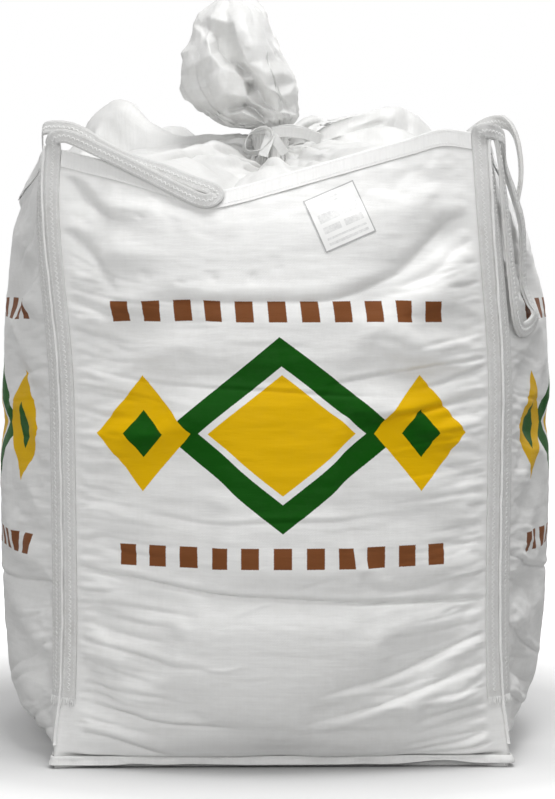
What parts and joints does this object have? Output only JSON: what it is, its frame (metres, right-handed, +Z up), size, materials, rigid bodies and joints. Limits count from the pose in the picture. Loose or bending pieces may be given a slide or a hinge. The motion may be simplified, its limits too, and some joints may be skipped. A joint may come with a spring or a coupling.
{
  "type": "filled bulk bag",
  "caption": "Square-based woven bulk bag, filled with compost, with webbing lifting loops at its corners and a filling skirt tied shut in a bow.",
  "frame": {"origin": "middle of the base, on the floor", "axes": "+Z up, -Y towards the front panel that carries the label, +X to the right seen from the front"},
  "size_m": [1.1446, 1.1446, 1.525],
  "materials": {
    "white_woven": "coated woven polypropylene, slight sheen",
    "white_hem": "turned and stitched woven polypropylene",
    "grey_webbing": "coarse woven webbing, matte",
    "white_ribbon": "flat woven tape, satin",
    "pale_label": "thin film"
  },
  "bodies": {
    "root": {"sack_body": "white_woven", "filling_skirt": "white_woven", "neck_tie": "white_ribbon", "document_label": "pale_label", "base_hem": "white_hem", "rim_hem_front": "white_hem", "rim_hem_right": "white_hem", "rim_hem_back": "white_hem", "rim_hem_left": "white_hem", "corner_seam_front_left": "white_hem", "corner_seam_front_right": "white_hem", "corner_seam_back_right": "white_hem", "corner_seam_back_left": "white_hem", "lift_loop_front_left": "grey_webbing", "lift_loop_front_right": "grey_webbing", "lift_loop_back_right": "grey_webbing", "lift_loop_back_left": "grey_webbing"}
  },
  "joints": []
}
